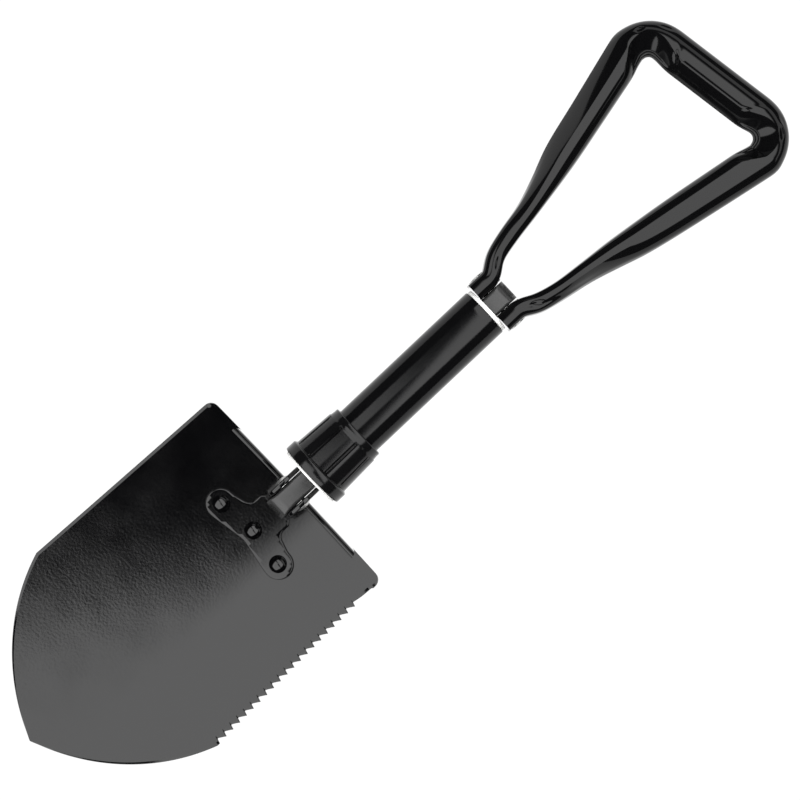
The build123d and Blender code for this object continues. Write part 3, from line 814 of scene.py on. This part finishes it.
def build_sleeve(material):
    """Drawn tube with a slightly rolled rim at its upper end."""
    low, high, radius, wall = SLEEVE_LOW[0], SLEEVE_HIGH[0], SLEEVE_RADIUS, SLEEVE_WALL
    profile = [(0, radius - wall), (0, radius)]
    profile += [(along, radius) for along in np.linspace(1, high - low - 0.5, 24)]
    profile += [(high - low - 0.5 + 0.5 * math.sin(a), radius - 0.5 + 0.5 * math.cos(a))
                for a in np.radians((30, 60, 90))]
    profile += [(high - low, radius - wall), (0, radius - wall)]

    def drawn(along, reach, angle):
        if reach < radius - 0.2:
            return reach
        return reach - 0.03 * (1 + math.sin(3 * angle + 0.03 * along))

    points, faces = lathe(profile, (low, 0, PIN_Z), (1, 0, 0), 144, wobble=drawn)
    faces = [f for f in faces if len(f) == 4]
    return make_piece("sleeve_shell", points, faces, material, "sleeve", ("sleeve_tube",))


def ring_with_slot(name, node, low, high, radius, edge, body, material):
    """Round ring with a keyed hole for the channel and softened rims."""
    steps = 96
    width, depth = (CORE_HIGH - CORE_LOW)[1:] + 2 * SLIDE_FIT
    points = []
    rims = [(low, radius - edge), (low + 0.3 * edge, radius - 0.3 * edge), (low + edge, radius),
            (high - edge, radius), (high - 0.3 * edge, radius - 0.3 * edge), (high, radius - edge)]
    for x, reach in rims:
        for step in range(steps):
            a = 2 * math.pi * step / steps
            points.append((x, reach * math.cos(a), PIN_Z + reach * math.sin(a)))
    for x in (high, low):
        for step in range(steps):
            a = 2 * math.pi * step / steps
            c, t = math.cos(a), math.sin(a)
            scale = min(width / 2 / max(abs(c), 1e-6), depth / 2 / max(abs(t), 1e-6))
            points.append((x, scale * c, PIN_Z + scale * t))
    rows = len(rims) + 2
    faces = quads(rows, steps, closed=True)
    faces += [((rows - 1) * steps + k, (rows - 1) * steps + (k + 1) % steps, (k + 1) % steps, k)
              for k in range(steps)]
    return make_piece(name, points, faces, material, body, (node,))


# ---- handle ----------------------------------------------------------------------------------
STATIONS = 340
CREASE_DEEP = -0.34        # crease across the tube at a bend's middle, share of its half width
CREASE_LEG = 0.72
CREASE_GRIP = 0.36
POCKET_LEG = 30.0          # reach of a pocket from the bend's middle
POCKET_GRIP = 30.0
BORE_DEPTH = 16.0          # how far the open ends' bore is modelled
RELIEF_START = 6.5         # slope under the leg ends: height over their lower edge, and its run
RELIEF_RUN = 3.2
# leg sections: height above the handle hinge, centre off the shaft axis, width, height
LEFT_LEG = [(16.1, 19.2, 11.4, 28.0), (30.2, 22.95, 12.0, 27.5), (49.0, 26.45, 12.9, 27.0),
            (67.8, 31.35, 16.3, 25.2), (86.7, 36.9, 20.2, 24.4), (115.0, 44.0, 21.4, 24.0)]
RIGHT_LEG = [(16.1, 17.6, 12.2, 28.0), (30.2, 21.1, 11.8, 27.5), (49.0, 23.9, 13.2, 27.0),
             (67.8, 27.4, 16.8, 25.0), (86.7, 31.4, 19.9, 23.0), (115.0, 36.4, 21.8, 22.0)]


def corner_arc(s, side):
    """Centre, point on the leg and point on the grip of a corner's bend."""
    leg, splay = (LEFT_LEG, s.left_splay) if side > 0 else (RIGHT_LEG, s.right_splay)
    lean = splay * side
    up, centre = leg[4][0], leg[4][1]
    grip_x = s.bar_up - s.bend / math.cos(s.skew)
    leg_y = side * (centre - s.bend / math.cos(lean))
    slope = math.tan(lean)
    x = (grip_x - math.tan(s.skew) * (leg_y - slope * up)) / (1 + math.tan(s.skew) * slope)
    y = leg_y + slope * (x - up)
    on_leg = (x - side * s.bend * math.sin(lean), y + side * s.bend * math.cos(lean))
    on_grip = (x + s.bend * math.cos(s.skew), y + s.bend * math.sin(s.skew))
    return (x, y), on_leg, on_grip


def blur(values, spacing, spread):
    """Gaussian blur along a row, the values continued straight past both ends."""
    reach = int(3 * spread / spacing) + 1
    start = 2 * values[0] - values[1:reach + 1][::-1]
    end = 2 * values[-1] - values[-reach - 1:-1][::-1]
    padded = np.concatenate([start, values, end])
    at = np.arange(-reach, reach + 1) * spacing
    weight = np.exp(-0.5 * (at / spread) ** 2)
    return np.convolve(padded, weight / weight.sum(), "valid")


def handle_path(s):
    """Stations along the tube: x, y, width, height, inner fullness, flatness of the outside."""
    corners = {side: corner_arc(s, side) for side in (1, -1)}
    first = s.leg_inner + s.end_width / 2

    def leg_rows(side, leg):
        """Hinge end to corner: x, y, width, height, inner fullness, flatness of the outside."""
        rows = [(-s.end_reach, side * first, s.end_width, s.end_height, 2.0, 0.0),
                (0.0, side * first, s.end_width, s.end_height, 2.0, 0.0),
                (s.straight, side * (first + 0.3), s.end_width, s.end_height, 2.0, 0.0)]
        outer = (0, 0, 0.3, 0.7, 0.9, 0.92) if side > 0 else (0, 0.4, 0.75, 0.6, 0.2, 0.0)
        for (up, centre, width, height), flank in zip(leg, outer):
            rows.append((up, side * centre, width, height, 2.0, flank))
        end = corners[side][1]
        rows.append((end[0], end[1], s.grip_width - 1.0, s.grip_height + 0.8, 2.0,
                     0.7 if side > 0 else 0.0))
        return rows

    rows = leg_rows(1, LEFT_LEG)
    for side in (1, -1):
        centre, on_leg, on_grip = corners[side]
        start, end = (on_leg, on_grip) if side > 0 else (on_grip, on_leg)
        a0 = math.atan2(start[1] - centre[1], start[0] - centre[0])
        a1 = math.atan2(end[1] - centre[1], end[0] - centre[0])
        for share in np.linspace(0, 1, 9)[1:-1]:
            angle = a0 + (a1 - a0) * share
            narrow = 2.0 * math.sin(math.pi * share)
            rows.append((centre[0] + s.bend * math.cos(angle),
                         centre[1] + s.bend * math.sin(angle),
                         s.grip_width - narrow, s.grip_height, 1.9, 0.0))
        if side > 0:
            (x0, y0), (x1, y1) = corners[1][2], corners[-1][2]
            for share in np.linspace(0, 1, 9):
                rows.append((x0 + (x1 - x0) * share, y0 + (y1 - y0) * share,
                             s.grip_width, s.grip_height, 1.9, 0.0))
    rows += leg_rows(-1, RIGHT_LEG)[::-1]
    path = curve_through(rows, STATIONS)
    spacing = np.hypot(*(path[1, :2] - path[0, :2]))
    ends = path[[0, -1], :2].copy()
    for column, spread in ((0, 2.2), (1, 2.2), (2, 3.5), (3, 3.5), (4, 5.0), (5, 5.0)):
        path[:, column] = blur(path[:, column], spacing, spread)
    path[[0, -1], :2] = ends
    return path, corners


def pocket(distance):
    """Depth, crease and lip of the caved side at a signed distance, negative on the leg."""
    if distance < 0:
        share = min(1.0, -distance / POCKET_LEG)
        crease = CREASE_DEEP + (CREASE_LEG - CREASE_DEEP) * share ** 1.3
        return smoothstep((1.0 - share) / 0.5), crease, smoothstep((1.0 - share) / 0.6)
    share = min(1.0, distance / POCKET_GRIP)
    crease = CREASE_DEEP + (CREASE_GRIP - CREASE_DEEP) * smoothstep(share)
    return 1.0 - 0.12 * share, crease, smoothstep((0.85 - share) / 0.45)


def ring_point(a, b, inner, outer, angle):
    """Point of the plain section: a flat oval's ends or a round tube, its outside flattened."""
    radius = min(a, b)
    full = 2.0 / (inner if angle < math.pi / 2 else 2.0)
    across = radius * math.copysign(abs(math.cos(angle)) ** full, math.cos(angle))
    up = radius * max(0.0, math.sin(angle)) ** full
    stretch = min(1.0, math.sin(angle) * 2.6)
    across, up = across * a / radius, up + (b - radius) * stretch
    if angle > math.pi / 2 and outer > 0:
        run = (angle - math.pi / 2) / (math.pi / 2)
        across += (-a * (0.04 + 0.96 * run) - across) * outer
        up += (b * (1 - run) ** 0.92 - up) * outer
    return across, up


def build_handle(settings, material):
    """Bent tube: flattened ends, S-bends, round legs and grip, caved inner corners."""
    s = settings
    path, corners = handle_path(s)
    centre = path[:, :2]
    step = np.diff(centre, axis=0)
    length = np.concatenate([[0], np.cumsum(np.hypot(step[:, 0], step[:, 1]))])
    tangent = np.gradient(centre, axis=0)
    tangent /= np.linalg.norm(tangent, axis=1)[:, None]
    inward = np.stack([tangent[:, 1], -tangent[:, 0]], axis=1)
    bends = []
    for side in (1, -1):
        _, on_leg, on_grip = corners[side]
        spot = np.array([(on_leg[0] + on_grip[0]) / 2, (on_leg[1] + on_grip[1]) / 2])
        bends.append(length[np.argmin(np.hypot(*(centre - spot).T))])
    columns = 128
    half = columns // 2
    points = []
    for i, (x, y, width, height, inner, outer) in enumerate(path):
        a, b = width / 2, height / 2
        left, right = pocket(length[i] - bends[0]), pocket(bends[1] - length[i])
        depth, crease, lip = left if length[i] < sum(bends) / 2 else right
        split = math.acos(crease)
        crown = ring_point(a, b, inner, outer, split)
        for column in range(columns):
            share = (column % half) / half
            tau = share if column < half else 1.0 - share
            turn = split * tau / 0.5 if tau < 0.5 else split + (math.pi - split) * (tau - 0.5) / 0.5
            across, up = ring_point(a, b, inner, outer, turn)
            if depth > 0 and tau < 0.5:
                run = 1.0 - tau / 0.5
                caved = cave_point(run, crown, a, b, lip)
                across += (caved[0] - across) * depth
                up += (caved[1] - up) * depth
            upper = 1.0 if column < half else -1.0
            points.append([HANDLE_PIN_X + x + inward[i][0] * across, y + inward[i][1] * across,
                           PIN_Z + upper * up])
    rows = len(path)
    array = np.array(points)
    dent_handle(array)
    shape_leg_ends(array, s)
    faces = quads(rows, columns, closed=True)
    everything = [tuple(p) for p in array]
    # open ends: the wall turns inside and runs a short way up the bore
    for start in (0, rows - 1):
        ring = array[start * columns:(start + 1) * columns]
        middle = ring.mean(axis=0)
        reach = abs(ring - middle).max(axis=0)
        shrink = np.array([1, (reach[1] - s.wall) / reach[1], (reach[2] - s.wall) / reach[2]])
        previous = [start * columns + k for k in range(columns)]
        for inside in (0.0, BORE_DEPTH):
            base = len(everything)
            for spot in ring:
                inset = middle + (spot - middle) * shrink
                everything.append((spot[0] + inside, inset[1], inset[2]))
            row = list(range(base, base + columns))
            faces += [(previous[k], previous[(k + 1) % columns], row[(k + 1) % columns], row[k])
                      for k in range(columns)]
            previous = row
        faces.append(tuple(previous))
    return make_piece("grip_handle", everything, faces, material, "handle", ("handle",),
                      sharp=34.0)


def cave_point(run, crown, a, b, lip):
    """Point of the caved side, its run going from the crease to the inner edge."""
    plain = (crown[0] + (a - crown[0]) * run, crown[1] * (1 - run) ** 0.9)
    edge, valley, shelf = 0.90 * a, 0.16 * b, 0.74
    across = crown[0] + (edge - crown[0]) * run
    if run < shelf:
        up = crown[1] + (valley - crown[1]) * (run / shelf) ** 0.9
    else:
        roll = (run - shelf) / (1 - shelf)
        up = valley * (1 - roll ** 4) + 0.16 * b * math.sin(math.pi * roll) ** 0.8
    return plain[0] + (across - plain[0]) * lip, plain[1] + (up - plain[1]) * lip


def shape_leg_ends(array, s):
    """Slope the underside of the leg ends so that they turn past the sleeve's ring."""
    low = HANDLE_PIN_X - s.end_reach
    for spot in array:
        over = PIN_Z - spot[2] - (s.end_height / 2 - RELIEF_START)
        if spot[0] < low + 4.0 and over > 0:
            spot[0] = max(spot[0], low + over * RELIEF_RUN / RELIEF_START)


# wrinkles and dents that the bending left on the upper side: up and across from the
# handle hinge, half length, half width, heading in degrees, depth
DENTS = (
    (173.8, 30.3, 5.0, 1.0, 47.0, -0.7),
    (172.6, 32.0, 4.6, 0.9, 47.0, 0.8),
    (184.0, -20.0, 6.0, 1.1, -43.0, -0.7),
    (182.6, -19.0, 5.0, 1.0, -43.0, 0.8),
    (168.7, 58.3, 1.8, 1.5, 0.0, 0.9),
    (181.0, 47.7, 4.5, 1.3, -60.0, 0.6),
    (193.1, -37.9, 1.9, 1.2, 60.0, 0.8),
    (190.4, -40.6, 1.6, 0.8, 60.0, -0.5),
    (187.1, -43.3, 2.4, 1.2, 40.0, 0.7),
    (12.8, -16.6, 4.4, 1.7, -32.0, 1.6),
    (22.0, -21.3, 8.0, 1.0, -16.0, 0.6),
    (40.0, -26.6, 13.0, 1.1, -12.0, 0.5),
    (14.5, 16.0, 4.5, 1.2, 33.0, 0.8),
)


def dent_handle(array):
    """Press the wrinkles and dents into the upper side."""
    upper = array[:, 2] > PIN_Z + 1.0
    for up, across, long, wide, heading, depth in DENTS:
        c, t = math.cos(math.radians(heading)), math.sin(math.radians(heading))
        dx, dy = array[:, 0] - HANDLE_PIN_X - up, array[:, 1] - across
        along, off = (dx * c + dy * t) / long, (dy * c - dx * t) / wide
        array[:, 2] -= upper * depth * np.exp(-(along ** 2 + off ** 2))


# ---- operators -------------------------------------------------------------------------------
class SHOVEL_OT_finishes(bpy.types.Operator):
    """Make the finishes and give them to the frame's own nodes"""
    bl_idname = "shovel.finishes"
    bl_label = "Finishes"

    def execute(self, context):
        look = context.scene.shovel_finish
        MATERIALS["enamel"] = enamel_material("gloss_enamel", look.enamel, 0.07, 1.45,
                                              peel=0.018, peel_size=1.6, waviness=0.03)
        MATERIALS["satin"] = enamel_material("tube_enamel", look.satin, 0.07, 1.34,
                                             peel=0.010, peel_size=3.5, waviness=0.03)
        MATERIALS["sleeve"] = satin_material("sleeve_enamel", look.satin, 0.10, 1.34, 0.10)
        # the channel's dark grey is its near-black coat plus a painted sheen in place of a reflection
        MATERIALS["channel"] = satin_material("channel_coat_and_painted_sheen", look.channel, 0.22, 1.45, 0.2)
        MATERIALS["polymer"] = satin_material("collar_polymer", look.polymer, 0.11, 1.36, 0.10)
        MATERIALS["nylon"] = nylon_material("white_nylon", look.nylon)
        MATERIALS["zinc"] = zinc_material("zinc_plate", look.zinc)
        chosen = {"guide_bush": "nylon", "threaded_ferrule": "zinc", "blade_pin_spacer": "zinc",
                  "handle_pin_spacer": "zinc"}
        for node, key in chosen.items():
            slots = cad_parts[node].data.materials
            slots.clear()
            slots.append(MATERIALS[key])
        return {"FINISHED"}


class SHOVEL_OT_blade(bpy.types.Operator):
    """Build the pressed blade"""
    bl_idname = "shovel.blade"
    bl_label = "Blade"

    def execute(self, context):
        build_blade(context.scene.shovel_blade, MATERIALS["enamel"])
        return {"FINISHED"}


class SHOVEL_OT_bracket(bpy.types.Operator):
    """Build the hinge bracket and its rivets"""
    bl_idname = "shovel.bracket"
    bl_label = "Bracket and rivets"

    def execute(self, context):
        blade, bracket = context.scene.shovel_blade, context.scene.shovel_bracket
        build_bracket(bracket, blade, MATERIALS["enamel"])
        places = (("rivet_left", bracket.side_reach, bracket.side_y),
                  ("rivet_middle", bracket.middle_reach, 0.0),
                  ("rivet_right", bracket.side_reach, -bracket.side_y))
        for node, reach, y in places:
            build_rivet(node + "_dome", node, PIN_X - reach, y, bracket, blade, MATERIALS["enamel"])
        return {"FINISHED"}


class SHOVEL_OT_core(bpy.types.Operator):
    """Build the inner channel and the hinge pins"""
    bl_idname = "shovel.core"
    bl_label = "Channel and pins"

    def execute(self, context):
        build_channel(MATERIALS["channel"])
        build_pin("blade_pin_set", "blade_hinge_pin", *BLADE_PIN_HEAD, MATERIALS["zinc"],
                  "pin_steel")
        build_pin("handle_pin_set", "handle_hinge_pin", *HANDLE_PIN_HEAD, MATERIALS["zinc"],
                  "pin_steel")
        return {"FINISHED"}


class SHOVEL_OT_lock(bpy.types.Operator):
    """Build the collar, washer, sleeve and ring"""
    bl_idname = "shovel.lock"
    bl_label = "Lock and sleeve"

    def execute(self, context):
        build_collar(context.scene.shovel_lock, MATERIALS["polymer"])
        build_sleeve(MATERIALS["sleeve"])
        radius = (WASHER_HIGH[1] - WASHER_LOW[1]) / 2
        ring_with_slot("lower_washer", "thrust_washer", WASHER_LOW[0], WASHER_HIGH[0], radius,
                       RIM_EDGE, "washer", MATERIALS["nylon"])
        radius = (RING_HIGH[1] - RING_LOW[1]) / 2
        ring_with_slot("upper_ring", "guide_ring", SLEEVE_HIGH[0], RING_HIGH[0], radius,
                       RIM_EDGE, "sleeve", MATERIALS["nylon"])
        return {"FINISHED"}


class SHOVEL_OT_handle(bpy.types.Operator):
    """Build the bent-tube handle"""
    bl_idname = "shovel.handle"
    bl_label = "Handle"

    def execute(self, context):
        build_handle(context.scene.shovel_handle, MATERIALS["satin"])
        return {"FINISHED"}


# ---- stage -----------------------------------------------------------------------------------
VIEW_TURN = math.radians(43.3)      # the shaft climbs to the right at this angle
VIEW_CENTRE = (0.0092, -0.0034)     # where the view's axis meets the shovel
VIEW_DISTANCE = 1.2
VIEW_WIDTH = 0.4704                 # metres across the view at the shaft's height
CEILING_HEIGHT = 1.25
CEILING_GLOW = 3.2


def view_axes():
    """Right and up of the view in the frame's axes."""
    c, s = math.cos(VIEW_TURN), math.sin(VIEW_TURN)
    return Vector((c, -s, 0)), Vector((s, c, 0))


def stage_sheet(name, height, reach, material):
    """Large square sheet of the stage, its place kept in the mesh."""
    mesh = bpy.data.meshes.new(name)
    corners = [(-reach, -reach), (reach, -reach), (reach, reach), (-reach, reach)]
    mesh.from_pydata([(x, y, height) for x, y in corners], [], [(0, 1, 2, 3)])
    mesh.materials.append(material)
    sheet = bpy.data.objects.new(name, mesh)
    bpy.context.scene.collection.objects.link(sheet)


def build_ceiling(tree):
    """Glow of the lights over the table: pale panels round a dark gap, by place in metres."""
    tree.nodes.clear()
    place = tree.nodes.new("ShaderNodeTexCoord")
    split = tree.nodes.new("ShaderNodeSeparateXYZ")
    tree.links.new(place.outputs["Object"], split.inputs["Vector"])
    output = tree.nodes.new("ShaderNodeOutputMaterial")
    emission = tree.nodes.new("ShaderNodeEmission")
    x, y = split.outputs["X"], split.outputs["Y"]

    def ramp(value, low, high, start=0.0, end=1.0):
        span = tree.nodes.new("ShaderNodeMapRange")
        span.interpolation_type = "SMOOTHSTEP"
        span.inputs["From Min"].default_value = low
        span.inputs["From Max"].default_value = high
        span.inputs["To Min"].default_value = start
        span.inputs["To Max"].default_value = end
        tree.links.new(value, span.inputs["Value"])
        return span.outputs["Result"]

    def combine(operation, one, two):
        node = tree.nodes.new("ShaderNodeMath")
        node.operation = operation
        for socket, value in zip(node.inputs, (one, two)):
            if isinstance(value, float):
                socket.default_value = value
            else:
                tree.links.new(value, socket)
        return node.outputs["Value"]

    width = combine("MULTIPLY", ramp(y, -1.35, -1.15), ramp(y, 1.15, 1.35, 1.0, 0.0))
    # panel over the tip, its edge a little askew
    skewed = combine("SUBTRACT", x, combine("MULTIPLY", y, 0.082))
    over_tip = ramp(skewed, -0.212, -0.178, 1.0, 0.0)
    # its arm towards +Y, fading over the shaft
    arm = combine("MULTIPLY", ramp(y, 0.02, 0.20), ramp(x, -0.02, 0.07, 1.0, 0.0))
    arm = combine("MULTIPLY", arm, ramp(x, -0.20, 0.0, 1.0, 0.72))
    # panel over the handle, with a slanting edge
    slant = combine("SUBTRACT", combine("MULTIPLY", x, 5.3), y)
    over_handle = combine("MULTIPLY", ramp(slant, 0.20, 0.65), ramp(x, 0.95, 1.25, 1.0, 0.0))
    beyond = combine("MULTIPLY", ramp(x, 1.5, 1.7), ramp(x, 2.6, 2.9, 0.45, 0.0))
    glow = combine("MAXIMUM", over_tip, arm)
    glow = combine("MAXIMUM", glow, over_handle)
    glow = combine("MULTIPLY", glow, width)
    glow = combine("MAXIMUM", glow, beyond)
    glow = combine("MULTIPLY", glow, CEILING_GLOW)
    tree.links.new(glow, emission.inputs["Strength"])
    tree.links.new(emission.outputs["Emission"], output.inputs["Surface"])


class SHOVEL_OT_stage(bpy.types.Operator):
    """Make the floor, light and camera"""
    bl_idname = "shovel.stage"
    bl_label = "Stage"

    def execute(self, context):
        scene = context.scene
        right, up = view_axes()
        floor_material, _, shader = new_material("white_floor")
        shader.inputs["Base Color"].default_value = (0.02, 0.02, 0.02, 1)
        shader.inputs["Roughness"].default_value = 1.0
        shader.inputs["Specular IOR Level"].default_value = 0.0
        shader.inputs["Emission Color"].default_value = (1, 1, 1, 1)
        shader.inputs["Emission Strength"].default_value = 1.02
        stage_sheet("floor", -0.0005, 4.0, floor_material)
        ceiling_material = bpy.data.materials.new("ceiling_glow")
        ceiling_material.use_nodes = True
        build_ceiling(ceiling_material.node_tree)
        stage_sheet("ceiling", CEILING_HEIGHT, 3.0, ceiling_material)

        world = bpy.data.worlds.new("studio")
        scene.world = world
        world.use_nodes = True
        background = world.node_tree.nodes["Background"]
        background.inputs["Color"].default_value = (1, 1, 1, 1)
        background.inputs["Strength"].default_value = 0.02

        camera = bpy.data.cameras.new("camera")
        camera.sensor_width = 36.0
        camera.lens = 36.0 * (VIEW_DISTANCE - PIN_Z * MM) / VIEW_WIDTH
        camera.clip_end = 20.0
        holder = bpy.data.objects.new("camera", camera)
        scene.collection.objects.link(holder)
        turn = Matrix((right, up, Vector((0, 0, 1)))).transposed().to_4x4()
        holder.matrix_world = Matrix.Translation((*VIEW_CENTRE, VIEW_DISTANCE)) @ turn
        scene.camera = holder
        scene.view_settings.view_transform = "Standard"
        scene.view_settings.look = "None"
        return {"FINISHED"}


class SHOVEL_PT_panel(bpy.types.Panel):
    """Buttons that build the shovel, in order"""
    bl_idname = "SHOVEL_PT_panel"
    bl_label = "Folding camp shovel"
    bl_space_type = "VIEW_3D"
    bl_region_type = "UI"
    bl_category = "Shovel"

    def draw(self, context):
        for operator in OPERATORS:
            self.layout.operator(operator.bl_idname)


GROUPS = {
    "shovel_blade": SHOVEL_PG_blade,
    "shovel_bracket": SHOVEL_PG_bracket,
    "shovel_lock": SHOVEL_PG_lock,
    "shovel_handle": SHOVEL_PG_handle,
    "shovel_finish": SHOVEL_PG_finish,
}
OPERATORS = (SHOVEL_OT_finishes, SHOVEL_OT_blade, SHOVEL_OT_bracket, SHOVEL_OT_core,
             SHOVEL_OT_lock, SHOVEL_OT_handle, SHOVEL_OT_stage)


def register():
    for name, group in GROUPS.items():
        bpy.utils.register_class(group)
        setattr(bpy.types.Scene, name, PointerProperty(type=group))
    for operator in OPERATORS:
        bpy.utils.register_class(operator)
    bpy.utils.register_class(SHOVEL_PT_panel)


def unregister():
    bpy.utils.unregister_class(SHOVEL_PT_panel)
    for operator in reversed(OPERATORS):
        bpy.utils.unregister_class(operator)
    for name, group in reversed(list(GROUPS.items())):
        delattr(bpy.types.Scene, name)
        bpy.utils.unregister_class(group)


def plain(bounds):
    """Two corners as plain lists."""
    return [[float(v) for v in corner] for corner in bounds]


def main():
    """Build everything in order."""
    register()
    bpy.ops.shovel.finishes()
    bpy.ops.shovel.blade()
    bpy.ops.shovel.bracket()
    bpy.ops.shovel.core()
    bpy.ops.shovel.lock()
    bpy.ops.shovel.handle()
    bpy.ops.shovel.stage()
    bpy.context.view_layer.update()


if __name__ == "__main__":
    main()
